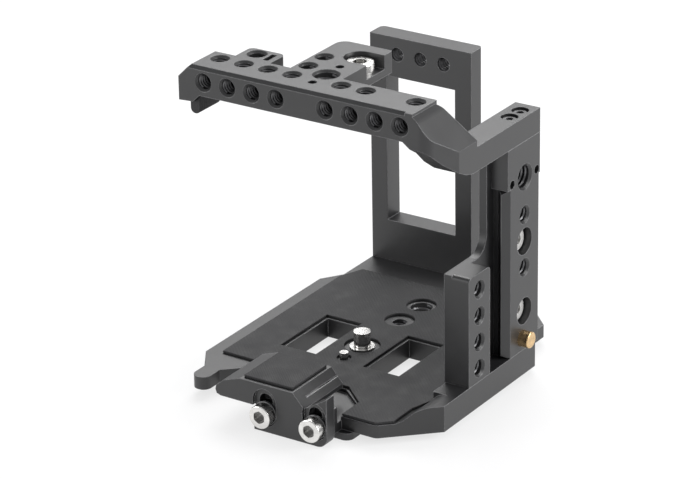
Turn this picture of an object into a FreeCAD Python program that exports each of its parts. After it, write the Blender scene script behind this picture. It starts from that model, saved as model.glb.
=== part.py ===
import FreeCAD
import Part

import math
import os

V = FreeCAD.Vector
RIGHT = V(1, 0, 0)
LEFT = V(-1, 0, 0)
BACK = V(0, 1, 0)
FRONT = V(0, -1, 0)
UP = V(0, 0, 1)
DOWN = V(0, 0, -1)

# Camera cage with a handle rail and a lens adapter support, millimetres.
# +X is the rail side, -Y is the lens side, +Z is up.
# The origin is on the bottom face, straight under the large tapped hole in the top plate.

# Driving heights, all measured from the bottom face
TOP = 118.5
BAR_BOTTOM = TOP - 10.7
EXTENSION_BOTTOM = TOP - 8.0
ARM_TOP = TOP - 17.8
ARM_BOTTOM = TOP - 26.8
RIM_TOP = 12.3
FLOOR_TOP = 7.4
PLATE_BOTTOM = 2.5

# Driving widths and depths
SIDE_OUT = 55.5
SIDE_IN = 45.5
BAR_LEFT = -50.5
BAR_FRONT = -16.5
BAR_BACK = -1.0
ARM_BACK = 50.0
GUARD_FRONT = 90.0

# Threads and screws, radii of the real walls
QUARTER = 2.65
THREE_EIGHTS = 4.1
LOCATING = 1.6
RUNNING = 0.05
PITCH = 10.0
NEAR = 0.01  # how close two places are taken as the same

# Top plate
HOLE_ROW = -6.0
TOP_HOLES = (-4, -3, -2, -1, 1, 2, 4)
FRONT_HOLES = (-4, -3, -2, -1, 1, 2, 3, 4)
FRONT_HOLE_Z = TOP - 5.5
FRONT_HOLE_DEPTH = 7.0
LOCATING_SPACING = 8.5
POCKET_X = 0.75
POCKET_Y = 20.0
POCKET_R = 5.75
POCKET_FLOOR = TOP - 5.2
ARM_SCREW_X = 50.8
ARM_SCREW_Y = (37.0, 44.2)

# Rail
RAIL_Y = 39.7
RAIL_HALF = 9.5
RAIL_BEVEL = 2.5
RAIL_TOP = TOP - 41.9
RAIL_IN = 48.6
LARGE_HOLE_Z = TOP - 40.2
RAIL_HOLES_Z = (TOP - 54.4, TOP - 74.5)
RAIL_SCREWS_Z = (TOP - 64.5, TOP - 91.3)
RAIL_WELL_R = 5.0
RAIL_WELL_DEPTH = 5.0
PIN_Y = 38.2
PIN_Z = TOP - 101.2
RAIL_PIN_HOLES_Y = (31.2, 47.8)

# Side frame
BLOCK_FRONT = 2.3
BLOCK_BACK = 16.3
BLOCK_TOP = TOP - 65.0
BLOCK_HOLE_Y = 9.4
BLOCK_HOLES_Z = TOP - 71.2
WEB_FRONT = 25.5

# Lens adapter support
SUPPORT_FRONT = -41.8
SUPPORT_THICK = 4.7
SUPPORT_TRAVEL = 4.5
CRADLE_LENGTH = 24.3
CRADLE_UNDER = 15.3
WASHER_STEP = 1.2
BOLT_X = (-0.2, 20.3)
BOLT_Z = 6.9
TONGUE_TOP = 6.0

# Base fasteners
BASE_SCREW_Y = 20.0
PIN_HOLE_Y = 8.0
PAD_THICK = 1.0
WINDOWS = ((-24.0, -11.0), (11.0, 24.0))
WINDOW_FRONT = 6.0
WINDOW_BACK = 34.0
TRIPOD_HOLES_Y = (45.0, 60.0)
FRAME_SCREWS = ((51.2, 4.9), (51.2, 13.9))
GUARD_SCREWS = ((-33.0, 94.1), (-4.5, 94.1))


def box(x0, x1, y0, y1, z0, z1):
    return Part.makeBox(x1 - x0, y1 - y0, z1 - z0, V(x0, y0, z0))


def rod(x, y, z, radius, length, axis=V(0, 0, 1)):
    return Part.makeCylinder(radius, length, V(x, y, z), axis)


def prism(points, along):
    """Straight prism on a closed outline of 3-D points."""
    outline = Part.makePolygon([V(*p) for p in points] + [V(*points[0])])
    return Part.Face(outline).extrude(V(*along))


def plan(points, z0, z1):
    return prism([(x, y, z0) for x, y in points], (0, 0, z1 - z0))


def vertical_edges(shape, places, tolerance=0.2):
    found = []
    for edge in shape.Edges:
        a, b = edge.Vertexes[0].Point, edge.Vertexes[-1].Point
        upright = abs(a.x - b.x) < NEAR and abs(a.y - b.y) < NEAR and abs(a.z - b.z) > 0.5
        if upright and any(abs(a.x - x) < tolerance and abs(a.y - y) < tolerance for x, y in places):
            found.append(edge)
    return found


def rounded(shape, places, radius):
    edges = vertical_edges(shape, places)
    return shape.makeFillet(radius, edges) if edges else shape


def tapped(x, y, z, radius, depth, axis):
    """Cutter for a tapped hole with a small countersink at the mouth; the axis runs into the metal."""
    mouth = V(x, y, z) - axis * 0.01
    body = Part.makeCylinder(radius, depth + 0.01, mouth, axis)
    sink = Part.makeCone(radius + 0.85, radius, 0.85, mouth, axis)
    return body.fuse(sink)


def socket_screw(x, y, z, shank_r, length, head_r, head_h, key, axis):
    """Cap screw: the point given is under the head, the axis runs from there into the metal."""
    under = V(x, y, z)
    shank = Part.makeCylinder(shank_r, length, under, axis)
    head = Part.makeCylinder(head_r, head_h, under - axis * head_h, axis)
    rim = max(head.Edges, key=lambda e: (e.CenterOfMass - under).dot(axis * -1))
    head = head.makeFillet(min(0.4, head_h * 0.3), [rim])
    top = under - axis * (head_h + 0.1)
    turn = FreeCAD.Rotation(V(0, 0, 1), axis)
    corners = []
    for i in range(6):
        angle = math.radians(60 * i + 30)
        corners.append(top + turn.multVec(V(key * math.cos(angle), key * math.sin(angle), 0)))
    hexagon = Part.Face(Part.makePolygon(corners + [corners[0]]))
    return head.fuse(shank).cut(hexagon.extrude(axis * (head_h * 0.62))).removeSplitter()


def ring(x, y, z, inner, outer, thick, axis=V(0, 0, 1)):
    return rod(x, y, z, outer, thick, axis).cut(rod(x, y, z, inner, thick, axis))


def coil(start, axis, mean_r, wire_r, turns, length):
    """Helical spring of round wire, from the start point along the axis."""
    helix = Part.makeHelix(length / turns, length, mean_r)
    corners = [math.pi * (2 * i + 1) / 8 for i in range(9)]
    profile = Part.makePolygon([V(mean_r + wire_r * math.cos(a), 0, wire_r * math.sin(a)) for a in corners])
    spring = Part.Wire(helix).makePipeShell([profile], True, True)
    spring.Placement = FreeCAD.Placement(start, FreeCAD.Rotation(V(0, 0, 1), axis))
    return spring


def shoulder_and_arm():
    """The bar's right end sweeps back and down into the arm that the side rail hangs from."""
    outline = [(38, BAR_FRONT), (50.3, BAR_FRONT), (SIDE_OUT, -3.9), (SIDE_OUT, ARM_BACK)]
    outline += [(SIDE_IN, ARM_BACK), (SIDE_IN, BAR_BACK), (38, BAR_BACK)]
    body = plan(outline, ARM_BOTTOM, TOP)
    body = rounded(body, [(50.3, BAR_FRONT)], 5.0)
    slope_start = 41.5
    slope = Part.Wire([
        Part.Arc(V(slope_start, -30, TOP), V(44.9, -30, TOP - 1.0), V(47.4, -30, TOP - 3.3)).toShape(),
        Part.LineSegment(V(47.4, -30, TOP - 3.3), V(60, -30, TOP - 22.6)).toShape(),
        Part.LineSegment(V(60, -30, TOP - 22.6), V(60, -30, TOP + 5)).toShape(),
        Part.LineSegment(V(60, -30, TOP + 5), V(slope_start, -30, TOP + 5)).toShape(),
        Part.LineSegment(V(slope_start, -30, TOP + 5), V(slope_start, -30, TOP)).toShape(),
    ])
    body = body.cut(Part.Face(slope).extrude(V(0, 90, 0)))
    behind = [(44, -3.0), (46.4, -0.7), (SIDE_OUT + 1, 9.0), (SIDE_OUT + 5, 9.0), (SIDE_OUT + 5, 60), (44, 60)]
    body = body.cut(plan(behind, ARM_TOP, TOP + 1))
    # The inside clears the camera's corner, with a slant under the end of the bar
    inside = [(30, -40, BAR_BOTTOM), (41.0, -40, BAR_BOTTOM), (SIDE_IN, -40, BAR_BOTTOM - 3.4)]
    inside += [(SIDE_IN, -40, ARM_BOTTOM - 1), (30, -40, ARM_BOTTOM - 1)]
    body = body.cut(prism(inside, (0, 120, 0)))
    under = [(30, -20, TOP - 12.4), (30, BAR_FRONT, TOP - 12.8), (30, -10.2, TOP - 18.9), (30, -3.9, TOP - 23.4)]
    under += [(30, 0.5, TOP - 25.6), (30, 5.0, ARM_BOTTOM), (30, 5.0, ARM_BOTTOM - 1), (30, -20, ARM_BOTTOM - 1)]
    return body.cut(prism(under, (40, 0, 0)))


def top_plate():
    bar = box(BAR_LEFT, 45, BAR_FRONT, BAR_BACK, BAR_BOTTOM, TOP)
    lip = [(BAR_LEFT, TOP - 13.8), (-44.6, TOP - 13.4), (-41.8, BAR_BOTTOM), (-41.8, BAR_BOTTOM + 1)]
    lip += [(BAR_LEFT, BAR_BOTTOM + 1)]
    body = bar.fuse(prism([(x, BAR_FRONT, z) for x, z in lip], (0, BAR_BACK - BAR_FRONT, 0)))
    extension = plan([(-14, BAR_BACK - 2), (7.2, BAR_BACK - 2), (7.2, 31), (-14, 31)], EXTENSION_BOTTOM, TOP)
    extension = rounded(extension, [(-14, 31)], 4.0)
    extension = rounded(extension, [(7.2, 31)], 0.8)
    tab = plan([(-37, BAR_BACK - 2), (-22.5, BAR_BACK - 2), (-22.5, 8.6), (-37, 8.6)], TOP - 6.5, TOP)
    tab = rounded(tab, [(-37, 8.6), (-22.5, 8.6)], 2.2)
    body = body.fuse([extension, tab, shoulder_and_arm()]).removeSplitter()
    corner = [(BAR_LEFT - 1, TOP - 6), (-44.5, TOP + 1), (BAR_LEFT - 1, TOP + 1)]
    body = body.cut(prism([(x, -30, z) for x, z in corner], (0, 60, 0)))
    edge = [(-60, BAR_FRONT - 1, TOP + 0.5), (-60, BAR_FRONT - 1, TOP - 2.2), (-60, BAR_FRONT + 1.7, TOP + 0.5)]
    body = body.cut(prism(edge, (102, 0, 0)))
    # Tapped holes
    for i in TOP_HOLES:
        body = body.cut(tapped(PITCH * i, HOLE_ROW, TOP, QUARTER, 20, DOWN))
    for i in (1, 2):
        body = body.cut(tapped(-PITCH, HOLE_ROW + PITCH * i, TOP, QUARTER, 20, DOWN))
    for i in FRONT_HOLES:
        body = body.cut(tapped(PITCH * i, BAR_FRONT, FRONT_HOLE_Z, QUARTER, FRONT_HOLE_DEPTH, BACK))
    body = body.cut(tapped(0, 0, TOP, THREE_EIGHTS, 20, DOWN))
    for side in (-1, 1):
        body = body.cut(rod(0, side * LOCATING_SPACING, TOP - 5, LOCATING, 6))
    # Pocket for the captive screw, open to the right
    pocket = rod(POCKET_X, POCKET_Y, POCKET_FLOOR, POCKET_R, 10)
    pocket = pocket.fuse(box(POCKET_X, 20, POCKET_Y - POCKET_R, POCKET_Y + POCKET_R, POCKET_FLOOR, TOP + 5))
    body = body.cut(pocket).cut(rod(POCKET_X, POCKET_Y, 80, 3.4, 40))
    # Round hole and strap slot in the tab
    body = body.cut(tapped(-31.6, 4.3, TOP, 2.9, 20, DOWN))
    body = body.cut(box(-26.8, -24.6, 0.6, 6.6, 80, TOP + 1))
    # Counterbored holes for the two screws that hold the rail
    for y in ARM_SCREW_Y:
        body = body.cut(rod(ARM_SCREW_X, y, ARM_BOTTOM - 1, 1.65, 20))
        body = body.cut(rod(ARM_SCREW_X, y, ARM_TOP - 3.4, 3.1, 10))
    return body.removeSplitter()


def side_rail():
    """Pillar under the arm, flush with a straight rail with bevelled edges."""
    front, back = RAIL_Y - RAIL_HALF, RAIL_Y + RAIL_HALF
    pillar = box(RAIL_IN, SIDE_OUT, front - 1.9, ARM_BACK, RAIL_TOP, ARM_BOTTOM)
    neck, edge, foot = SIDE_OUT - 5.0, SIDE_OUT - RAIL_BEVEL, RIM_TOP
    section = [(RAIL_IN, front), (neck, front), (edge, front - RAIL_BEVEL), (SIDE_OUT, front)]
    section += [(SIDE_OUT, back), (edge, back + RAIL_BEVEL), (neck, back), (RAIL_IN, back)]
    rail = plan(section, foot, RAIL_TOP)
    for z, up in ((RAIL_TOP, 1), (foot, -1)):
        slant = [(0, front - 5, z), (0, front - 5, z - up * 3.1), (0, front, z)]
        rail = rail.cut(prism([(40, y, h) for _, y, h in slant], (30, 0, 0)))
    body = pillar.fuse(rail)
    body = body.cut(tapped(SIDE_OUT, RAIL_Y, LARGE_HOLE_Z, THREE_EIGHTS, 20, LEFT))
    for y in RAIL_PIN_HOLES_Y:
        body = body.cut(rod(SIDE_OUT + 1, y, LARGE_HOLE_Z, LOCATING, 5, LEFT))
    for z in RAIL_HOLES_Z:
        body = body.cut(tapped(SIDE_OUT, RAIL_Y, z, QUARTER, 20, LEFT))
    for z in RAIL_SCREWS_Z:
        body = body.cut(rod(SIDE_OUT + 1, RAIL_Y, z, RAIL_WELL_R, RAIL_WELL_DEPTH + 1, LEFT))
        body = body.cut(rod(SIDE_OUT + 1, RAIL_Y, z, 2.2, 20, LEFT))
    # Stepped bore for the safety pin
    body = body.cut(rod(SIDE_OUT + 1, PIN_Y, PIN_Z, 3.0 + RUNNING, 20, LEFT))
    body = body.cut(rod(SIDE_OUT - 1.4, PIN_Y, PIN_Z, 3.6, 20, LEFT))
    for y in ARM_SCREW_Y:
        body = body.cut(rod(ARM_SCREW_X, y, ARM_BOTTOM - 9, 1.55, 10))
    return body.removeSplitter()


def side_frame():
    """Upright web behind the rail, in one piece with the block of four tapped holes."""
    # The web's outline in the plane of its inner face, with an inside corner of this radius
    top, step = ARM_BOTTOM, BLOCK_TOP
    radius = 7.0
    web = Part.Wire([
        Part.LineSegment(V(SIDE_IN, ARM_BACK, RIM_TOP), V(SIDE_IN, ARM_BACK, top)).toShape(),
        Part.LineSegment(V(SIDE_IN, ARM_BACK, top), V(SIDE_IN, WEB_FRONT, top)).toShape(),
        Part.LineSegment(V(SIDE_IN, WEB_FRONT, top), V(SIDE_IN, WEB_FRONT, step + radius)).toShape(),
        Part.Arc(
            V(SIDE_IN, WEB_FRONT, step + radius),
            V(SIDE_IN, WEB_FRONT - radius * 0.293, step + radius * 0.293),
            V(SIDE_IN, WEB_FRONT - radius, step),
        ).toShape(),
        Part.LineSegment(V(SIDE_IN, WEB_FRONT - radius, step), V(SIDE_IN, BLOCK_FRONT, step)).toShape(),
        Part.LineSegment(V(SIDE_IN, BLOCK_FRONT, step), V(SIDE_IN, BLOCK_FRONT, RIM_TOP)).toShape(),
        Part.LineSegment(V(SIDE_IN, BLOCK_FRONT, RIM_TOP), V(SIDE_IN, ARM_BACK, RIM_TOP)).toShape(),
    ])
    body = Part.Face(web).extrude(V(RAIL_IN - SIDE_IN, 0, 0))
    block = box(SIDE_IN + 1.5, SIDE_OUT, BLOCK_FRONT, BLOCK_BACK, RIM_TOP, BLOCK_TOP)
    middle = (BLOCK_FRONT + BLOCK_BACK) / 2
    top_edges = [e for e in block.Edges if abs(e.CenterOfMass.z - BLOCK_TOP) < NEAR]
    lip = [e for e in top_edges if abs(e.CenterOfMass.y - middle) > NEAR]
    body = body.fuse(block.makeFillet(1.6, lip))
    for i in range(4):
        body = body.cut(tapped(SIDE_OUT, BLOCK_HOLE_Y, BLOCK_HOLES_Z - PITCH * i, QUARTER, 20, LEFT))
    for z in RAIL_SCREWS_Z:
        body = body.cut(rod(SIDE_IN - 1, RAIL_Y, z, 2.0, 10, RIGHT))
    body = body.cut(rod(SIDE_IN - 1, PIN_Y, PIN_Z, 1.2 + RUNNING, 10, RIGHT))
    for x, y in FRAME_SCREWS:
        body = body.cut(rod(x, y, RIM_TOP - 1, 1.25, 9))
    return body.removeSplitter()


def base_plate():
    outline = [(23.8, -30.5), (38, -30.5), (SIDE_OUT, -14), (SIDE_OUT, 47.5), (46, 57), (46, 70), (34, 82)]
    outline += [(9, 82), (3.2, 88), (3.2, 98.4), (-40.5, 98.4), (-40.5, 70), (-46, 62), (-46, -12), (-39.6, -22)]
    outline += [(-39.6, -30.5), (-33, -30.5), (-33, -22), (-22, -12), (14, -12), (23.8, -20)]
    body = plan(outline, PLATE_BOTTOM, FLOOR_TOP)
    body = rounded(body, [(-39.6, -30.5), (-33, -30.5)], 3.0)
    rim = [(38, -30.5), (SIDE_OUT, -14), (SIDE_OUT, 47.5), (46, 57), (46, -6), (40, -18), (30, -30.5)]
    wall = plan(rim, PLATE_BOTTOM, RIM_TOP)
    wave = Part.BSplineCurve()
    wave.interpolate([V(42.6, -60, FLOOR_TOP), V(44.6, -60, FLOOR_TOP + 0.7), V(47.2, -60, FLOOR_TOP + 3.1),
                      V(50.6, -60, FLOOR_TOP + 4.7), V(52.6, -60, RIM_TOP)])
    profile = Part.Wire([
        Part.LineSegment(V(20, -60, FLOOR_TOP), V(42.6, -60, FLOOR_TOP)).toShape(),
        wave.toShape(),
        Part.LineSegment(V(52.6, -60, RIM_TOP), V(52.6, -60, RIM_TOP + 5)).toShape(),
        Part.LineSegment(V(52.6, -60, RIM_TOP + 5), V(20, -60, RIM_TOP + 5)).toShape(),
        Part.LineSegment(V(20, -60, RIM_TOP + 5), V(20, -60, FLOOR_TOP)).toShape(),
    ])
    wall = wall.cut(Part.Face(profile).extrude(V(0, 54, 0)))
    boss = plan([(-6, -33.2), (29, -33.2), (29, 66), (-33, 66), (-33, -10), (-6, -12)], 0, PLATE_BOTTOM + 0.1)
    boss = rounded(boss, [(29, -33.2)], 3.0)
    tongue = box(-6, 24, SUPPORT_FRONT + SUPPORT_THICK + RUNNING, -11, PLATE_BOTTOM, TONGUE_TOP)
    lug_front = SUPPORT_FRONT + SUPPORT_THICK + RUNNING
    lugs = [box(-6, 13.7, lug_front, lug_front + 4.1, PLATE_BOTTOM, 10.5)]
    lugs.append(box(16.8, 24, lug_front, lug_front + 4.1, PLATE_BOTTOM, 12.0))
    body = body.fuse([wall, boss, tongue] + lugs).removeSplitter()
    body = rounded(body, [(38, -30.5)], 3.0)
    # Camera screw well, tripod threads and the locating pin
    body = body.cut(rod(0, BASE_SCREW_Y, -1, 3.4, 20))
    body = body.cut(rod(0, BASE_SCREW_Y, -1, 9.0, 5.5))
    body = body.cut(tapped(0, TRIPOD_HOLES_Y[0], 0, QUARTER, 20, UP))
    body = body.cut(tapped(0, TRIPOD_HOLES_Y[1], 0, THREE_EIGHTS, 20, UP))
    body = body.cut(rod(0, PIN_HOLE_Y, 3.4, LOCATING, 10))
    for x in BOLT_X:
        body = body.cut(rod(x, -40, BOLT_Z, 2.1, 10, BACK))
    for x, y in FRAME_SCREWS + GUARD_SCREWS:
        body = body.cut(rod(x, y, PLATE_BOTTOM - 1, 1.65, 20))
        body = body.cut(rod(x, y, PLATE_BOTTOM - 1, 3.0, 3.2))
    # Lightening windows beside the camera screw
    for x0, x1 in WINDOWS:
        body = body.cut(box(x0, x1, WINDOW_FRONT, WINDOW_BACK, -1, 20))
    return body.removeSplitter()


def rear_guard():
    """Upright plate behind the camera; its top edge shows over the camera in the photograph."""
    body = box(-40.5, 3.2, GUARD_FRONT, GUARD_FRONT + 8.4, FLOOR_TOP, TOP - 20.8)
    body = body.cut(box(-33.5, -3.8, GUARD_FRONT - 1, GUARD_FRONT + 20, 24, 82))
    body = rounded(body, [(3.2, GUARD_FRONT + 8.4), (-40.5, GUARD_FRONT + 8.4)], 2.0)
    for x, y in GUARD_SCREWS:
        body = body.cut(rod(x, y, FLOOR_TOP - 1, 1.25, 9))
    for i in (-1, 0, 1):
        body = body.cut(tapped(-18.65 + PITCH * i, GUARD_FRONT + 8.4, TOP - 27.5, QUARTER, 20, FRONT))
    return body.removeSplitter()


def lens_support():
    """Front plate with two upright slots and a cradle that runs back under the adapter."""
    saddle = [(16.3, 11.2), (16.3, 12.7), (11.6, 18.0), (-10.5, 18.0), (-17.4, 15.6), (-20.4, 13.0), (-20.8, 11.4)]
    saddle += [(-20.3, 9.9), (-18.6, 9.3), (-4.7, 9.2)]
    cradle = prism([(x, SUPPORT_FRONT, z) for x, z in saddle], (0, CRADLE_LENGTH, 0))
    plate_back = SUPPORT_FRONT + SUPPORT_THICK
    cradle = cradle.cut(box(-17.0, 14.2, plate_back, plate_back + 60, 0, CRADLE_UNDER))
    plate = [(-4.7, 0), (25.5, 0), (25.5, 18.8), (16.3, 12.7), (16.3, 11.0), (-4.7, 11.0)]
    front = prism([(x, SUPPORT_FRONT, z) for x, z in plate], (0, SUPPORT_THICK, 0))
    corner = [e for e in front.Edges if abs(e.CenterOfMass.x - 25.5) < NEAR and abs(e.CenterOfMass.z) < NEAR]
    front = front.makeFillet(4.0, corner)
    body = front.fuse(cradle)
    # Slots open above the bolts, each with a wider step for the washer
    for x in BOLT_X:
        for half, depth in ((2.75, 20), (4.8, WASHER_STEP)):
            for z in (BOLT_Z, BOLT_Z + SUPPORT_TRAVEL):
                body = body.cut(rod(x, SUPPORT_FRONT - 1, z, half, depth + 1, BACK))
            mouth = SUPPORT_FRONT - 1
            body = body.cut(box(x - half, x + half, mouth, mouth + depth + 1, BOLT_Z, BOLT_Z + SUPPORT_TRAVEL))
    return body.removeSplitter()


def safety_pin():
    """Push pin at the end of the rail: head, collar behind the lip and guide shank, in one turning."""
    head = rod(SIDE_OUT + 4.0, PIN_Y, PIN_Z, 3.0, 5.5, LEFT)
    rim = max(head.Edges, key=lambda e: e.CenterOfMass.x)
    head = head.makeFillet(0.5, [rim])
    collar = rod(SIDE_OUT - 1.45, PIN_Y, PIN_Z, 3.5, 0.9, LEFT)
    shank = rod(SIDE_OUT - 2.0, PIN_Y, PIN_Z, 1.2, 5.0, LEFT)
    return head.fuse([collar, shank]).removeSplitter()


def base_screw():
    """Quarter-inch camera screw with a flat head and two ears for the folding ring."""
    head = rod(0, BASE_SCREW_Y, 2.3, 7.6, 2.0)
    shank = rod(0, BASE_SCREW_Y, 2.3, 3.1, 11.5)
    neck = ring(0, BASE_SCREW_Y, FLOOR_TOP, 2.6, 4, 0.9)
    ears = box(-2.2, 2.2, BASE_SCREW_Y + 2.6, BASE_SCREW_Y + 5.2, 0.5, 2.4)
    ears = ears.cut(rod(-10, BASE_SCREW_Y + 3.9, 1.3, 0.65, 20, RIGHT))
    slot = box(-8, 8, BASE_SCREW_Y - 0.7, BASE_SCREW_Y + 0.7, 1, 3.1)
    return head.fuse(shank).cut(slot).cut(neck).fuse(ears).removeSplitter()


def finger_ring():
    """Wire ring that folds flat against the screw head; its straight side runs through the ears."""
    y, z, wire = BASE_SCREW_Y + 3.9, 1.3, 0.6
    half, reach = 5.2, 9.6
    bar = rod(-half, y, z, wire, 2 * half, RIGHT)
    arms = [rod(side * half, y, z, wire, reach - half, FRONT) for side in (-1, 1)]
    bow = Part.makeTorus(half, wire, V(0, y - (reach - half), z), UP, -180, 180, 180)
    bow.rotate(V(0, y - (reach - half), z), UP, 180)
    corners = [Part.makeSphere(wire, V(side * half, y, z)) for side in (-1, 1)]
    return bar.fuse(arms + [bow] + corners).removeSplitter()


def make_nodes():
    nodes = {
        "top_plate": top_plate(),
        "side_rail": side_rail(),
        "side_frame": side_frame(),
        "base_plate": base_plate(),
        "rear_guard": rear_guard(),
        "lens_support": lens_support(),
        "safety_pin": safety_pin(),
        "base_screw": base_screw(),
        "base_screw_ring": finger_ring(),
    }
    nodes["arm_screws"] = Part.makeCompound([
        socket_screw(ARM_SCREW_X, y, ARM_TOP - 3.4, 1.5, 12.0, 2.75, 2.6, 1.45, DOWN) for y in ARM_SCREW_Y
    ])
    nodes["rail_screws"] = Part.makeCompound([
        socket_screw(SIDE_OUT - RAIL_WELL_DEPTH, RAIL_Y, z, 1.95, 4.9, 4.2, 2.4, 1.8, LEFT) for z in RAIL_SCREWS_Z
    ])
    nodes["frame_screws"] = Part.makeCompound([
        socket_screw(x, y, PLATE_BOTTOM + 2.2, 1.2, 14.0, 2.7, 2.0, 1.2, UP) for x, y in FRAME_SCREWS
    ])
    nodes["guard_screws"] = Part.makeCompound([
        socket_screw(x, y, PLATE_BOTTOM + 2.2, 1.2, 10.0, 2.7, 2.0, 1.2, UP) for x, y in GUARD_SCREWS
    ])
    seat = SUPPORT_FRONT + WASHER_STEP - RUNNING
    for name, x in zip(("left", "right"), BOLT_X):
        nodes[f"support_bolt_{name}"] = socket_screw(x, seat - 0.8, BOLT_Z, 2.05, 8.6, 4.25, 3.9, 2.4, BACK)
        nodes[f"support_washer_{name}"] = ring(x, seat - 0.8, BOLT_Z, 2.2, 4.5, 0.8, BACK)
    nodes["safety_pin_spring"] = coil(V(RAIL_IN + 0.35, PIN_Y, PIN_Z), RIGHT, 2.5, 0.25, 2, 3.85)
    nodes["top_screw"] = socket_screw(POCKET_X, POCKET_Y, POCKET_FLOOR, 3.1, 15.0, 5.1, 3.6, 2.6, DOWN)
    neck = ring(POCKET_X, POCKET_Y, EXTENSION_BOTTOM - 1.2, 2.6, 4, 0.8)
    nodes["top_screw"] = nodes["top_screw"].cut(neck)
    nodes["top_screw_clip"] = ring(POCKET_X, POCKET_Y, EXTENSION_BOTTOM - 1.1, 2.65, 4.6, 0.6)
    nodes["base_screw_clip"] = ring(0, BASE_SCREW_Y, FLOOR_TOP + 0.15, 2.65, 4.6, 0.6)
    nodes["locating_pin"] = rod(0, PIN_HOLE_Y, 3.4, LOCATING, 7.0)
    nodes["base_pad"] = base_pad()
    nodes["top_pad"] = box(-12.5, 6.0, 25.6, 30.0, EXTENSION_BOTTOM - 1.5, EXTENSION_BOTTOM)
    nodes["cradle_pad"] = box(-9.5, 10.6, SUPPORT_FRONT + 1.5, SUPPORT_FRONT + 23.0, 18.0, 19.0)
    nodes["corner_bumper"] = corner_bumper(nodes["top_plate"])
    return nodes


def base_pad():
    """Thin rubber sheet on the floor, cut out round the screw, the pin and the openings."""
    outline = [(-40, -10), (14.6, -11.2), (24.1, -19.6), (24.1, -30.2), (37.8, -30.2), (42.4, -25.7), (42.4, -14)]
    outline += [(45.3, -5), (45.3, 50), (40, 66), (30, 76), (-36, 76), (-40, 66)]
    sheet = plan(outline, FLOOR_TOP, FLOOR_TOP + PAD_THICK)
    sheet = sheet.cut(rod(0, BASE_SCREW_Y, 0, 6.5, 20)).cut(rod(0, PIN_HOLE_Y, 0, 2.6, 20))
    for x0, x1 in WINDOWS:
        sheet = sheet.cut(box(x0 - 1, x1 + 1, WINDOW_FRONT - 1, WINDOW_BACK + 1, 0, 20))
    for y in TRIPOD_HOLES_Y:
        sheet = sheet.cut(rod(0, y, 0, 5.5, 20))
    return sheet


def corner_bumper(top_plate_shape):
    """Rubber stop with a round nose under the left end of the bar, moulded to the slope it sits on."""
    low = TOP - 18.4
    stop = box(-46.8, -42.8, BAR_FRONT + 1.5, BAR_BACK - 1.5, low, BAR_BOTTOM)
    nose = [e for e in stop.Edges if abs(e.CenterOfMass.z - low) < NEAR and e.Length > 7]
    return stop.makeFillet(1.9, nose).cut(top_plate_shape)


def main():
    os.makedirs("parts", exist_ok=True)
    for name, shape in make_nodes().items():
        shape.exportStep(f"parts/{name}.step")
        print(name, len(shape.Solids), round(shape.Volume, 1), shape.isValid())


main()
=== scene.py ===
import math

import bmesh
import bpy
from bpy.props import FloatProperty, FloatVectorProperty, IntProperty, PointerProperty
from mathutils import Matrix, Vector


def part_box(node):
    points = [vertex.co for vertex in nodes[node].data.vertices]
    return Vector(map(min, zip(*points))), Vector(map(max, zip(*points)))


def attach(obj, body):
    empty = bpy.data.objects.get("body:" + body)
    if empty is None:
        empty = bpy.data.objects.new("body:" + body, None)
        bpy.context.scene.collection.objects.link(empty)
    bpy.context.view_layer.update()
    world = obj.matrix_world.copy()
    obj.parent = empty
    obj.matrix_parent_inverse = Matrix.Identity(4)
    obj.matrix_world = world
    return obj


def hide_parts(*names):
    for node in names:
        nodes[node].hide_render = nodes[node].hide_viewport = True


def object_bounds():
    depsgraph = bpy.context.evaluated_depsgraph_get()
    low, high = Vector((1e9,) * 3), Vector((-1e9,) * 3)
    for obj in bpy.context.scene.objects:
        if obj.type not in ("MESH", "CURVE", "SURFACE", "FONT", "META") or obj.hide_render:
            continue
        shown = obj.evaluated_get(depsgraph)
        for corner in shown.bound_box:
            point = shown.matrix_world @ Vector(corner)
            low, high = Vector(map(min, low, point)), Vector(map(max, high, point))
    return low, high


bl_info = {
    "name": "Camera cage dressing",
    "version": (1, 0, 0),
    "blender": (4, 5, 0),
    "location": "View3D > Sidebar > Camera cage",
    "description": "Finishes, cut threads, rubber pads and a studio for the camera cage",
    "category": "Add Mesh",
}

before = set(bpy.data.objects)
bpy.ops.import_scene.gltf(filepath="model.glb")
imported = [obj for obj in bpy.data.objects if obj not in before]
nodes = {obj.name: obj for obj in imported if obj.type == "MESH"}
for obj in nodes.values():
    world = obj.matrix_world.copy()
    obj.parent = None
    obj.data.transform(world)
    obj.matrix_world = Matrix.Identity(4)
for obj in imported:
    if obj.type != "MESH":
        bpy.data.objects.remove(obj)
cad_low, cad_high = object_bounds()

MM = 0.001
INCH = 0.0254
UP = Vector((0, 0, 1))
TO_FRONT = (0, -1, 0)
TO_REAR = (0, 1, 0)
TO_RIGHT = (1, 0, 0)
TO_GROUND = (0, 0, -1)

PIN_HEAD = 4.0 * MM  # the safety pin's head stands this far out of the rail
TOP = cad_high.z
RIGHT = cad_high.x - PIN_HEAD
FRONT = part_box("top_plate")[0].y
REAR = cad_high.y

# Tapped holes: wall radius, and threads to the inch
QUARTER = (2.65 * MM, 20)
THREE_EIGHTHS = (4.1 * MM, 16)

# Places of the holes; a drop is measured down from the top face
STEP = 10 * MM
TOP_ROW_Y = -6 * MM
TONGUE_Y = (4 * MM, 14 * MM)
FRONT_DROP = 5.5 * MM
RAIL_Y = 39.7 * MM
RAIL_LARGE_DROP = 40.2 * MM
RAIL_DROPS = (54.4 * MM, 74.5 * MM)
BLOCK_Y = 9.4 * MM
BLOCK_DROP = 71.2 * MM
GUARD_X = -18.65 * MM
GUARD_DROP = 27.5 * MM
TRIPOD_SMALL_Y = 45 * MM
TRIPOD_LARGE_Y = 60 * MM

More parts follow.
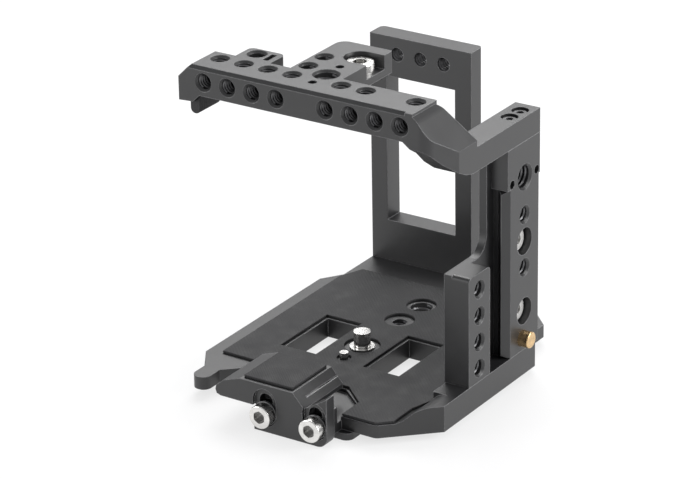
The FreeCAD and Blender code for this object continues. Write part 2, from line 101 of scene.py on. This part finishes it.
# Form of a thread's ridge; shares are of one pitch
SINK = 0.85 * MM  # the thread ends this far under the mouth
ROOT_OVERLAP = 0.02 * MM
START_SHARE = 0.4
FOOT_SHARE = 0.36
CREST_SHARE = 0.07


def row(mouths, opens, size, depth_mm):
    """Mouth, direction it opens in, wall radius, depth and thread pitch of each hole in a row."""
    radius, per_inch = size
    return [(Vector(mouth), Vector(opens), radius, depth_mm * MM, INCH / per_inch)
            for mouth in mouths]


TOP_ROW = row([(STEP * i, TOP_ROW_Y, TOP) for i in (-4, -3, -2, -1, 1, 2, 4)],
              UP, QUARTER, depth_mm=10.4)
TONGUE_ROW = row([(-STEP, y, TOP) for y in TONGUE_Y], UP, QUARTER, depth_mm=7.6)
TOP_LARGE = row([(0, 0, TOP)], UP, THREE_EIGHTHS, depth_mm=7.6)
FRONT_ROW = row([(STEP * i, FRONT, TOP - FRONT_DROP) for i in (-4, -3, -2, -1, 1, 2, 3, 4)],
                TO_FRONT, QUARTER, depth_mm=6.8)
RAIL_LARGE = row([(RIGHT, RAIL_Y, TOP - RAIL_LARGE_DROP)], TO_RIGHT, THREE_EIGHTHS, depth_mm=6.6)
RAIL_ROW = row([(RIGHT, RAIL_Y, TOP - drop) for drop in RAIL_DROPS],
               TO_RIGHT, QUARTER, depth_mm=6.6)
BLOCK_ROW = row([(RIGHT, BLOCK_Y, TOP - BLOCK_DROP - STEP * i) for i in range(4)],
                TO_RIGHT, QUARTER, depth_mm=9.6)
TRIPOD_SMALL = row([(0, TRIPOD_SMALL_Y, 0)], TO_GROUND, QUARTER, depth_mm=7.0)
TRIPOD_LARGE = row([(0, TRIPOD_LARGE_Y, 0)], TO_GROUND, THREE_EIGHTHS, depth_mm=7.0)
GUARD_ROW = row([(GUARD_X + STEP * i, REAR, TOP - GUARD_DROP) for i in (-1, 0, 1)],
                TO_REAR, QUARTER, depth_mm=8.0)

# Screws: radius of the key's socket, inside which the steel's colour is darkened as painted
# shade, and head of a rail screw
BOLT_SOCKET = 2.35 * MM
TOP_SCREW_SOCKET = 2.5 * MM
RAIL_SCREW_SOCKET = 1.75 * MM
RAIL_SCREW_HEAD = 4.2 * MM
RAIL_SCREW_METALLIC = 0.45  # paler in its deep well than full metal would be
BLACKENED_TONE = 2.2

# Rubber pieces: name, body, rubber and width of the rounded edge, by the node each replaces
PADS = {
    "base_pad": ("floor_rubber_sheet", "cage", "floor", 0.25 * MM),
    "top_pad": ("top_rubber_strip", "cage", "small", 0.35 * MM),
    "corner_bumper": ("corner_rubber_stop", "cage", "small", 0.3 * MM),
    "cradle_pad": ("cradle_rubber_strip", "adapter_support", "small", 0.25 * MM),
}
MERGE = 1e-6
FLAT_ANGLE = math.radians(1)
SHARP_ANGLE = math.radians(40)

# Studio
LAMPS = {
    "lamp_side": {
        "place": (1.2, 0.45, 0.55), "aim": (0.05, 0.0, 0.06), "size": 0.9, "power": 16.0},
    "lamp_over": {
        "place": (-0.35, 0.75, 1.0), "aim": (0, 0, 0.05), "size": 0.9, "power": 13.0},
    "lamp_front": {
        "place": (-0.9, -0.9, 0.35), "aim": (-0.02, -0.02, 0.08), "size": 0.5, "power": 6.0},
}
SENSOR_WIDTH = 36
FAR_CLIP = 20
FLOOR_REACH = 6
FLOOR_DROP = 0.0002
FLOOR_GLOW = 0.72  # share of plain white in the floor where the camera or a reflection sees it
WORLD_COLOUR = (0.62, 0.62, 0.63, 1)
WORLD_STRENGTH = 0.8
WHITE = (1, 1, 1, 1)


class CageFinish(bpy.types.PropertyGroup):
    black: FloatVectorProperty(
        name="Anodised black", description="Colour of the blasted and anodised metal",
        default=(0.017, 0.017, 0.018), subtype="COLOR", min=0, max=1)
    # Pale colour painted along the edges as a highlight, in place of light caught by small
    # chamfers.
    edge: FloatVectorProperty(
        name="Edge", description="Colour of the metal along worn edges",
        default=(0.34, 0.34, 0.35), subtype="COLOR", min=0, max=1)
    bare: FloatVectorProperty(
        name="Cut metal", description="Colour of the threads, cut after anodising",
        default=(0.16, 0.16, 0.165), subtype="COLOR", min=0, max=1)
    steel: FloatVectorProperty(
        name="Steel", description="Colour of the bright screws",
        default=(0.86, 0.85, 0.83), subtype="COLOR", min=0, max=1)
    brass: FloatVectorProperty(
        name="Brass", description="Colour of the safety pin",
        default=(0.80, 0.56, 0.30), subtype="COLOR", min=0, max=1)
    rubber: FloatVectorProperty(
        name="Rubber", description="Colour of the pads",
        default=(0.014, 0.014, 0.015), subtype="COLOR", min=0, max=1)
    edge_radius: FloatProperty(
        name="Edge radius", description="Width of the softened edge", default=0.0005,
        min=0, max=0.002, unit="LENGTH")
    grain: FloatProperty(
        name="Blasting grain", description="Size of one grain of the blasted surface",
        default=0.00022, min=0.00005, max=0.002, unit="LENGTH")


class CageThreads(bpy.types.PropertyGroup):
    sides: IntProperty(
        name="Sides", description="Faces round one turn of a thread", default=28, min=8, max=64)
    height: FloatProperty(
        name="Thread height", description="How far a ridge stands into the hole",
        default=0.00036, min=0.0001, max=0.001, unit="LENGTH")


class CageStudio(bpy.types.PropertyGroup):
    azimuth: FloatProperty(
        name="Azimuth", description="Camera angle round the object, from the front",
        default=math.radians(33.419), subtype="ANGLE")
    elevation: FloatProperty(
        name="Elevation", description="Camera angle over the horizon",
        default=math.radians(23.590), subtype="ANGLE")
    roll: FloatProperty(
        name="Roll", description="Turn of the camera about its own line of sight",
        default=math.radians(-0.921), subtype="ANGLE")
    lens: FloatProperty(
        name="Lens", description="Focal length on a 36 mm wide sensor, in millimetres",
        default=181.9, min=20, max=400)
    camera_place: FloatVectorProperty(
        name="Camera place", description="Where the camera stands", size=3,
        default=(0.62788, -0.93843, 0.54988), subtype="XYZ", unit="LENGTH")
    floor: FloatVectorProperty(
        name="Floor", description="Colour of the floor", default=(0.92, 0.92, 0.925),
        subtype="COLOR", min=0, max=1)


# Materials


class Value:
    """One shader socket; arithmetic on it adds Math nodes."""

    def __init__(self, finish, socket):
        self.finish = finish
        self.socket = socket

    def math(self, operation, first, second=None):
        values = {0: first} if second is None else {0: first, 1: second}
        made = self.finish.node("ShaderNodeMath", {"operation": operation}, values)
        return Value(self.finish, made.outputs[0])

    def __add__(self, other):
        return self.math("ADD", self, other)

    def __sub__(self, other):
        return self.math("SUBTRACT", self, other)

    def __rsub__(self, other):
        return self.math("SUBTRACT", other, self)

    def __mul__(self, other):
        return self.math("MULTIPLY", self, other)

    def __pow__(self, other):
        return self.math("POWER", self, other)

    def at_least(self, other):
        return self.math("MAXIMUM", self, other)

    def wave(self):
        return self.math("SINE", self)

    def size(self):
        return self.math("ABSOLUTE", self)


class Finish:
    """A material with one Principled shader, and the nodes that feed it."""

    def __init__(self, name, **constants):
        self.material = bpy.data.materials.new(name)
        self.material.use_nodes = True
        self.tree = self.material.node_tree
        self.shader = self.tree.nodes["Principled BSDF"]
        for key, value in constants.items():
            self.shader.inputs[key.replace("_", " ")].default_value = value

    def feed(self, socket, value):
        if isinstance(value, Value):
            value = value.socket
        if isinstance(value, bpy.types.NodeSocket):
            self.tree.links.new(value, socket)
        elif hasattr(socket.default_value, "__len__") and len(socket.default_value) == 4:
            socket.default_value = (*value[:3], 1.0)
        else:
            socket.default_value = value

    def node(self, kind, settings=None, values=None):
        made = self.tree.nodes.new(kind)
        for key, value in (settings or {}).items():
            setattr(made, key, value)
        for key, value in (values or {}).items():
            self.feed(made.inputs[key], value)
        return made

    def place(self):
        return self.node("ShaderNodeTexCoord").outputs["Object"]

    def parts(self):
        split = self.node("ShaderNodeSeparateXYZ", values={0: self.place()})
        return [Value(self, split.outputs[i]) for i in range(3)]

    def noise(self, size, detail=2.0, stretch=(1, 1, 1)):
        """Noise from 0 to 1 whose features are about size across."""
        mapping = self.node("ShaderNodeMapping", {"vector_type": "POINT"},
                            {"Vector": self.place(), "Scale": stretch})
        made = self.node("ShaderNodeTexNoise", {"noise_dimensions": "3D"},
                         {"Vector": mapping.outputs[0], "Scale": 1 / size, "Detail": detail})
        return Value(self, made.outputs["Fac"])

    def between(self, value, low, high, to_low=0.0, to_high=1.0):
        made = self.node("ShaderNodeMapRange", {"clamp": True},
                         {"Value": value, "From Min": low, "From Max": high,
                          "To Min": to_low, "To Max": to_high})
        return Value(self, made.outputs[0])

    def mix(self, factor, first, second):
        made = self.node("ShaderNodeMix", {"data_type": "RGBA", "blend_type": "MIX"},
                         {0: factor, 6: first, 7: second})
        return made.outputs[2]

    def edges(self, radius):
        """1 along edges that turn outwards or inwards, 0 on flat faces."""
        soft = self.node("ShaderNodeBevel", {"samples": 6}, {"Radius": radius})
        true = self.node("ShaderNodeNewGeometry").outputs["Normal"]
        dot = self.node("ShaderNodeVectorMath", {"operation": "DOT_PRODUCT"},
                        {0: soft.outputs[0], 1: true})
        return 1 - Value(self, dot.outputs["Value"]), soft.outputs[0]

    def bump(self, height, strength, distance, normal=None):
        values = {"Height": height, "Strength": strength, "Distance": distance}
        if normal is not None:
            values["Normal"] = normal
        return self.node("ShaderNodeBump", values=values).outputs[0]

    def finish(self, colour=None, roughness=None, normal=None):
        for key, value in (("Base Color", colour), ("Roughness", roughness), ("Normal", normal)):
            if value is not None:
                self.feed(self.shader.inputs[key], value)
        return self.material


NOISE_BAND = (0.3, 0.7)  # part of a noise's range that is stretched from 0 to 1


def shade(colour, share):
    return [part * share for part in colour]


def turning(across, up, pitch):
    """Distance from a centre line, and rings from 0 to 1 round it."""
    reach = (across * across + up * up) ** 0.5
    return reach, (reach * (2 * math.pi / pitch)).wave() * 0.5 + 0.5


def anodised(settings, name, tone=1.0):
    """Blasted and anodised aluminium: fine grain, cloudy tone, and a pale highlight painted along
    the edges.
    """
    made = Finish(name, Metallic=0.0, IOR=1.62)
    edge, soft = made.edges(settings.edge_radius)
    grain = made.noise(settings.grain, detail=3.0)
    cloud = made.noise(14 * MM, detail=2.0)
    highlight_patches = made.noise(1.6 * MM, detail=4.0, stretch=(1, 1, 0.35))
    # Painted highlight: the pale edge colour is laid along bevelled edges and broken up by noise,
    # standing in for light caught by the chamfers.
    highlit = made.between(edge, low=0.03, high=0.17)
    painted_highlight = highlit * made.between(highlight_patches, low=0.3, high=0.6, to_low=0.5, to_high=1.0)
    black = shade(settings.black, tone)
    deep = shade(shade(settings.black, 0.72), tone)
    body = made.mix(made.between(cloud + (grain - 0.5) * 0.5, *NOISE_BAND), deep, black)
    colour = made.mix(painted_highlight * 0.75, body, settings.edge)
    dull = made.between(cloud, *NOISE_BAND, to_low=0.36, to_high=0.44)
    roughness = dull + (grain - 0.5) * 0.10 - painted_highlight * 0.06
    normal = made.bump(grain, strength=0.22, distance=0.03 * MM, normal=soft)
    return made.finish(colour, roughness, normal)


def cut_metal(settings):
    """Threads, cut bright after the black finish, with fine turning marks."""
    made = Finish("cut_metal", Metallic=1.0)
    marks = made.noise(0.12 * MM, detail=2.0)
    smear = made.noise(2.2 * MM, detail=3.0)
    dull = shade(settings.bare, 0.55)
    colour = made.mix(made.between(smear, low=0.3, high=0.65), dull, settings.bare)
    roughness = made.between(marks, *NOISE_BAND, to_low=0.26, to_high=0.42)
    normal = made.bump(marks, strength=0.2, distance=0.02 * MM)
    return made.finish(colour, roughness, normal)


def turned_steel(settings, name, axis=None, centre=(0, 0, 0), spread=0.0, socket=None,
                 metallic=1.0):
    """Bright steel with turning rings round the centre line along an axis.

    With a spread, the rings run round two lines, that far up and down from the centre.
    Inside the socket's radius the steel's colour is darkened, as painted shade in the key's hole."""
    made = Finish(name, Metallic=metallic)
    soft = made.edges(0.15 * MM)[1]
    stain = made.noise(3 * MM, detail=3.0)
    dull = shade(settings.steel, 0.8)
    colour = made.mix(made.between(stain, *NOISE_BAND), dull, settings.steel)
    if axis is None:
        rings = made.noise(0.25 * MM, detail=2.0, stretch=(1, 1, 0.2))
    else:
        parts = made.parts()
        across, up = [parts[i] - centre[i] for i in range(3) if i != axis]
        if spread:
            up = up.size() - spread
        reach, rings = turning(across, up, 0.22 * MM)
        if socket:
            # Painted shade: darker steel inside the socket's radius stands in for the shade in
            # the key's hole.
            deep = shade(settings.steel, 0.45)
            colour = made.mix(made.between(reach, socket, socket - 0.15 * MM), colour, deep)
    roughness = made.between(stain, *NOISE_BAND, to_low=0.16, to_high=0.24) + rings * 0.05
    normal = made.bump(rings, strength=0.12, distance=0.012 * MM, normal=soft)
    return made.finish(colour, roughness, normal)


def turned_brass(settings):
    """Brass with fine turning rings on the head of the safety pin."""
    made = Finish("turned_brass", Metallic=1.0)
    soft = made.edges(0.2 * MM)[1]
    y, z = made.parts()[1:]
    low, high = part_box("safety_pin")
    rings = turning(y - (low.y + high.y) / 2, z - (low.z + high.z) / 2, 0.2 * MM)[1]
    stain = made.noise(1.5 * MM, detail=3.0)
    dull = shade(settings.brass, 0.72)
    colour = made.mix(made.between(stain, *NOISE_BAND), dull, settings.brass)
    roughness = made.between(stain, *NOISE_BAND, to_low=0.22, to_high=0.34)
    normal = made.bump(rings, strength=0.15, distance=0.012 * MM, normal=soft)
    return made.finish(colour, roughness, normal)


def ribbed_rubber(settings, name, pitch):
    """Matt moulded rubber with fine ribs across it and a little dust in the grain."""
    made = Finish(name, Metallic=0.0, IOR=1.5)
    x, y = made.parts()[:2]
    ribs = ((x + y) * (2 * math.pi / pitch)).wave() * 0.5 + 0.5
    grain = made.noise(0.3 * MM, detail=3.0)
    dust = made.noise(6 * MM, detail=4.0)
    pale = shade(settings.rubber, 1.9)
    colour = made.mix(made.between(dust, low=0.45, high=0.8), settings.rubber, pale)
    roughness = made.between(dust, low=0.3, high=0.8, to_low=0.62, to_high=0.8)
    normal = made.bump(ribs + grain * 0.3, strength=0.4, distance=0.12 * MM)
    return made.finish(colour, roughness, normal)


# Shapes


def piece(name, mesh_data, material, body, replaced=None):
    """Turns a bmesh into a piece of the cage that rides on a body."""
    mesh = bpy.data.meshes.new(name)
    mesh_data.to_mesh(mesh)
    mesh_data.free()
    made = bpy.data.objects.new(name, mesh)
    bpy.context.scene.collection.objects.link(made)
    mesh.materials.append(material)
    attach(made, body)
    if replaced:
        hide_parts(replaced)
    return made


def turn_to(opens, mouth):
    """Matrix that stands a hole drawn along Z at its mouth, opening the right way."""
    turn = UP.rotation_difference(opens).to_matrix().to_4x4()
    return Matrix.Translation(mouth) @ turn


def helix(corners, climb, turns, sides):
    """Solid ridge swept round Z from a closed outline in the XZ plane, climbing at each step."""
    made = bmesh.new()
    points = [made.verts.new((x, 0, z)) for x, z in corners]
    face = made.faces.new(points)
    bmesh.ops.spin(made, geom=points + list(face.edges) + [face], cent=(0, 0, 0), axis=(0, 0, 1),
                   dvec=(0, 0, climb), angle=2 * math.pi * turns, steps=round(sides * turns),
                   use_merge=False, use_duplicate=False)
    bmesh.ops.recalc_face_normals(made, faces=made.faces)
    return made


def add_to(whole, part, matrix):
    """Copies one bmesh into another, moved by the matrix."""
    bmesh.ops.transform(part, matrix=matrix, verts=part.verts)
    carried = bpy.data.meshes.new("carried")
    part.to_mesh(carried)
    part.free()
    whole.from_mesh(carried)
    bpy.data.meshes.remove(carried)


def cut_thread(settings, name, holes, material):
    """Helical thread in each hole of a row."""
    whole = bmesh.new()
    for mouth, opens, radius, depth, pitch in holes:
        stand = turn_to(opens, mouth)
        turns = (depth - SINK - pitch) / pitch
        low = -depth + START_SHARE * pitch
        root, crest = radius + ROOT_OVERLAP, radius - settings.height
        ridge = [(root, low - FOOT_SHARE * pitch), (crest, low - CREST_SHARE * pitch),
                 (crest, low + CREST_SHARE * pitch), (root, low + FOOT_SHARE * pitch)]
        add_to(whole, helix(ridge, pitch / settings.sides, turns, settings.sides), stand)
    return piece(name, whole, material, "cage")


def cut_rows(context, rows):
    """Cuts the threads of several rows in one bare metal."""
    metal = cut_metal(context.scene.cage_finish)
    for name, holes in rows.items():
        cut_thread(context.scene.cage_threads, name, holes, metal)


def softened(node, name, material, body, width):
    """Pad in the shape of its plain solid, with its edges rounded as moulded rubber's are."""
    made = bmesh.new()
    made.from_mesh(nodes[node].data)
    bmesh.ops.remove_doubles(made, verts=made.verts, dist=MERGE)
    bmesh.ops.dissolve_limit(made, angle_limit=FLAT_ANGLE, verts=made.verts, edges=made.edges)
    sharp = [e for e in made.edges if e.is_manifold and e.calc_face_angle() > SHARP_ANGLE]
    bmesh.ops.bevel(made, geom=sharp, offset=width, offset_type="OFFSET", segments=3, profile=0.5,
                    affect="EDGES", material=-1, clamp_overlap=True)
    bmesh.ops.triangulate(made, faces=[f for f in made.faces if len(f.verts) > 4])
    bmesh.ops.recalc_face_normals(made, faces=made.faces)
    return piece(name, made, material, body, node)


def coat(names, material):
    """Gives the CAD parts of these names one material."""
    for name in names:
        slots = nodes[name].material_slots
        if not slots:
            nodes[name].data.materials.append(material)
        for spot in slots:
            spot.material = material


# Operators


class CAGE_OT_metal(bpy.types.Operator):
    """Gives the black machined parts their blasted and anodised finish"""
    bl_idname = "cage.metal"
    bl_label = "Anodised metal"

    def execute(self, context):
        settings = context.scene.cage_finish
        coat(["top_plate", "rear_guard"], anodised(settings, "anodised_plate"))
        coat(["side_rail"], anodised(settings, "anodised_rail"))
        coat(["base_plate", "lens_support"], anodised(settings, "anodised_base"))
        coat(["side_frame"], anodised(settings, "anodised_frame"))
        return {"FINISHED"}


class CAGE_OT_screws(bpy.types.Operator):
    """Gives screws, bolts, washers, clips, the spring and the pins their turned metal"""
    bl_idname = "cage.screws"
    bl_label = "Screws and pins"

    def execute(self, context):
        settings = context.scene.cage_finish
        for side in ("left", "right"):
            low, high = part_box(f"support_bolt_{side}")
            steel = turned_steel(settings, f"turned_steel_{side}", 1, (low + high) / 2,
                                 socket=BOLT_SOCKET)
            coat([f"support_bolt_{side}"], steel)
        low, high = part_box("top_screw")
        coat(["top_screw", "top_screw_clip"],
             turned_steel(settings, "turned_steel_top", 2, (low + high) / 2,
                          socket=TOP_SCREW_SOCKET))
        low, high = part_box("base_screw_clip")
        coat(["base_screw", "base_screw_clip"],
             turned_steel(settings, "turned_steel_base", 2, (low + high) / 2))
        coat(["base_screw_ring", "safety_pin_spring", "locating_pin"],
             turned_steel(settings, "drawn_steel"))
        low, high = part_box("rail_screws")
        spread = (high.z - low.z) / 2 - RAIL_SCREW_HEAD
        coat(["rail_screws"],
             turned_steel(settings, "turned_steel_rail", 0, (low + high) / 2, spread,
                          RAIL_SCREW_SOCKET, RAIL_SCREW_METALLIC))
        coat(["arm_screws", "frame_screws", "guard_screws",
              "support_washer_left", "support_washer_right"],
             anodised(settings, "blackened_steel", BLACKENED_TONE))
        coat(["safety_pin"], turned_brass(settings))
        return {"FINISHED"}


class CAGE_OT_top_threads(bpy.types.Operator):
    """Cuts the threads of the top plate and its front"""
    bl_idname = "cage.top_threads"
    bl_label = "Top plate threads"

    def execute(self, context):
        cut_rows(context, {
            "threads_top_plate": TOP_ROW + TONGUE_ROW,
            "thread_top_large": TOP_LARGE,
            "threads_front": FRONT_ROW,
        })
        return {"FINISHED"}


class CAGE_OT_side_threads(bpy.types.Operator):
    """Cuts the threads of the rail and of the four-hole block"""
    bl_idname = "cage.side_threads"
    bl_label = "Rail and block threads"

    def execute(self, context):
        cut_rows(context, {
            "threads_rail": RAIL_LARGE + RAIL_ROW,
            "threads_block": BLOCK_ROW,
        })
        return {"FINISHED"}


class CAGE_OT_hidden_threads(bpy.types.Operator):
    """Cuts the threads under the base and behind the guard"""
    bl_idname = "cage.hidden_threads"
    bl_label = "Base and guard threads"

    def execute(self, context):
        cut_rows(context, {
            "threads_base": TRIPOD_SMALL + TRIPOD_LARGE,
            "threads_guard": GUARD_ROW,
        })
        return {"FINISHED"}


class CAGE_OT_pads(bpy.types.Operator):
    """Moulds the rubber of the base, the top plate, the cradle and the corner stop"""
    bl_idname = "cage.pads"
    bl_label = "Rubber pads"

    def execute(self, context):
        settings = context.scene.cage_finish
        rubbers = {"floor": ribbed_rubber(settings, "floor_rubber", 1.6 * MM),
                   "small": ribbed_rubber(settings, "stop_rubber", 1.1 * MM)}
        for node, (name, body, rubber, width) in PADS.items():
            softened(node, name, rubbers[rubber], body, width)
        return {"FINISHED"}


def camera_matrix(studio):
    """Place and turn of the camera, from its angles round the object."""
    turn, lift, roll = studio.azimuth, studio.elevation, studio.roll
    level = math.cos(lift)
    back = Vector((math.sin(turn) * level, -math.cos(turn) * level, math.sin(lift)))
    side = UP.cross(back).normalized()
    above = back.cross(side)
    x = math.cos(roll) * side + math.sin(roll) * above
    y = -math.sin(roll) * side + math.cos(roll) * above
    matrix = Matrix((x, y, back)).transposed().to_4x4()
    matrix.translation = Vector(studio.camera_place)
    return matrix


class CAGE_OT_studio(bpy.types.Operator):
    """Sets the floor, the soft lamps, the world and the camera at the photograph's angle"""
    bl_idname = "cage.studio"
    bl_label = "Studio"

    def execute(self, context):
        scene = context.scene
        studio = scene.cage_studio
        data = bpy.data.cameras.new("studio_camera")
        data.lens = studio.lens
        data.sensor_width = SENSOR_WIDTH
        data.sensor_fit = "HORIZONTAL"
        data.clip_end = FAR_CLIP
        camera = bpy.data.objects.new("studio_camera", data)
        camera.matrix_world = camera_matrix(studio)
        scene.collection.objects.link(camera)
        scene.camera = camera
        self.floor(studio)
        for name, lamp in LAMPS.items():
            self.lamp(name, **lamp)
        self.world(scene)
        scene.view_settings.view_transform = "Standard"
        return {"FINISHED"}

    def floor(self, studio):
        made = bmesh.new()
        bmesh.ops.create_grid(made, x_segments=2, y_segments=2, size=FLOOR_REACH)
        mesh = bpy.data.meshes.new("floor")
        made.to_mesh(mesh)
        made.free()
        floor = bpy.data.objects.new("floor", mesh)
        floor.location.z = -FLOOR_DROP
        bpy.context.scene.collection.objects.link(floor)
        paper = Finish("floor_paper", Roughness=0.9)
        fibre = paper.noise(2 * MM, 3.0)
        colour = shade(studio.floor, 0.985)
        paper.finish(paper.mix(fibre, colour, studio.floor))
        seen = paper.node("ShaderNodeLightPath")
        camera, shine, through = [Value(paper, seen.outputs[f"Is {ray} Ray"])
                                  for ray in ("Camera", "Glossy", "Transmission")]
        glow = paper.node("ShaderNodeEmission", values={"Color": (1, 1, 1), "Strength": 1.0})
        blend = paper.node("ShaderNodeMixShader", values={
            0: camera.at_least(shine).at_least(through) * FLOOR_GLOW,
            1: paper.shader.outputs[0], 2: glow.outputs[0]})
        output = paper.tree.nodes["Material Output"]
        paper.tree.links.new(blend.outputs[0], output.inputs["Surface"])
        mesh.materials.append(paper.material)

    def lamp(self, name, place, aim, size, power):
        data = bpy.data.lights.new(name, "AREA")
        data.shape = "SQUARE"
        data.size = size
        data.energy = power
        lamp = bpy.data.objects.new(name, data)
        away = Vector(place) - Vector(aim)
        turn = away.to_track_quat("Z", "Y").to_matrix().to_4x4()
        lamp.matrix_world = Matrix.Translation(place) @ turn
        bpy.context.scene.collection.objects.link(lamp)

    def world(self, scene):
        world = bpy.data.worlds.new("studio_world")
        world.use_nodes = True
        scene.world = world
        tree = world.node_tree
        light = tree.nodes["Background"]
        light.inputs["Color"].default_value = WORLD_COLOUR
        light.inputs["Strength"].default_value = WORLD_STRENGTH
        white = tree.nodes.new("ShaderNodeBackground")
        white.inputs["Color"].default_value = WHITE
        path = tree.nodes.new("ShaderNodeLightPath")
        mix = tree.nodes.new("ShaderNodeMixShader")
        tree.links.new(path.outputs["Is Camera Ray"], mix.inputs[0])
        tree.links.new(light.outputs[0], mix.inputs[1])
        tree.links.new(white.outputs[0], mix.inputs[2])
        tree.links.new(mix.outputs[0], tree.nodes["World Output"].inputs["Surface"])


class CAGE_PT_panel(bpy.types.Panel):
    """Lists the pieces of the camera cage and their settings"""
    bl_idname = "CAGE_PT_panel"
    bl_label = "Camera cage"
    bl_space_type = "VIEW_3D"
    bl_region_type = "UI"
    bl_category = "Camera cage"

    def draw(self, context):
        layout = self.layout
        for group in GROUPS:
            settings = getattr(context.scene, group)
            for key in settings.bl_rna.properties.keys():
                if key not in ("rna_type", "name"):
                    layout.prop(settings, key)
        for operator in STEPS:
            layout.operator(operator.bl_idname)


STEPS = (CAGE_OT_studio, CAGE_OT_metal, CAGE_OT_screws, CAGE_OT_top_threads,
         CAGE_OT_side_threads, CAGE_OT_hidden_threads, CAGE_OT_pads)
GROUPS = {"cage_finish": CageFinish, "cage_threads": CageThreads, "cage_studio": CageStudio}


def register():
    for made in (*GROUPS.values(), *STEPS, CAGE_PT_panel):
        bpy.utils.register_class(made)
    for key, group in GROUPS.items():
        setattr(bpy.types.Scene, key, PointerProperty(type=group))


def unregister():
    for key in GROUPS:
        delattr(bpy.types.Scene, key)
    for made in (CAGE_PT_panel, *reversed(STEPS), *GROUPS.values()):
        bpy.utils.unregister_class(made)


def main():
    register()
    for operator in STEPS:
        group, step = operator.bl_idname.split(".")
        getattr(getattr(bpy.ops, group), step)()


if __name__ == "__main__":
    main()
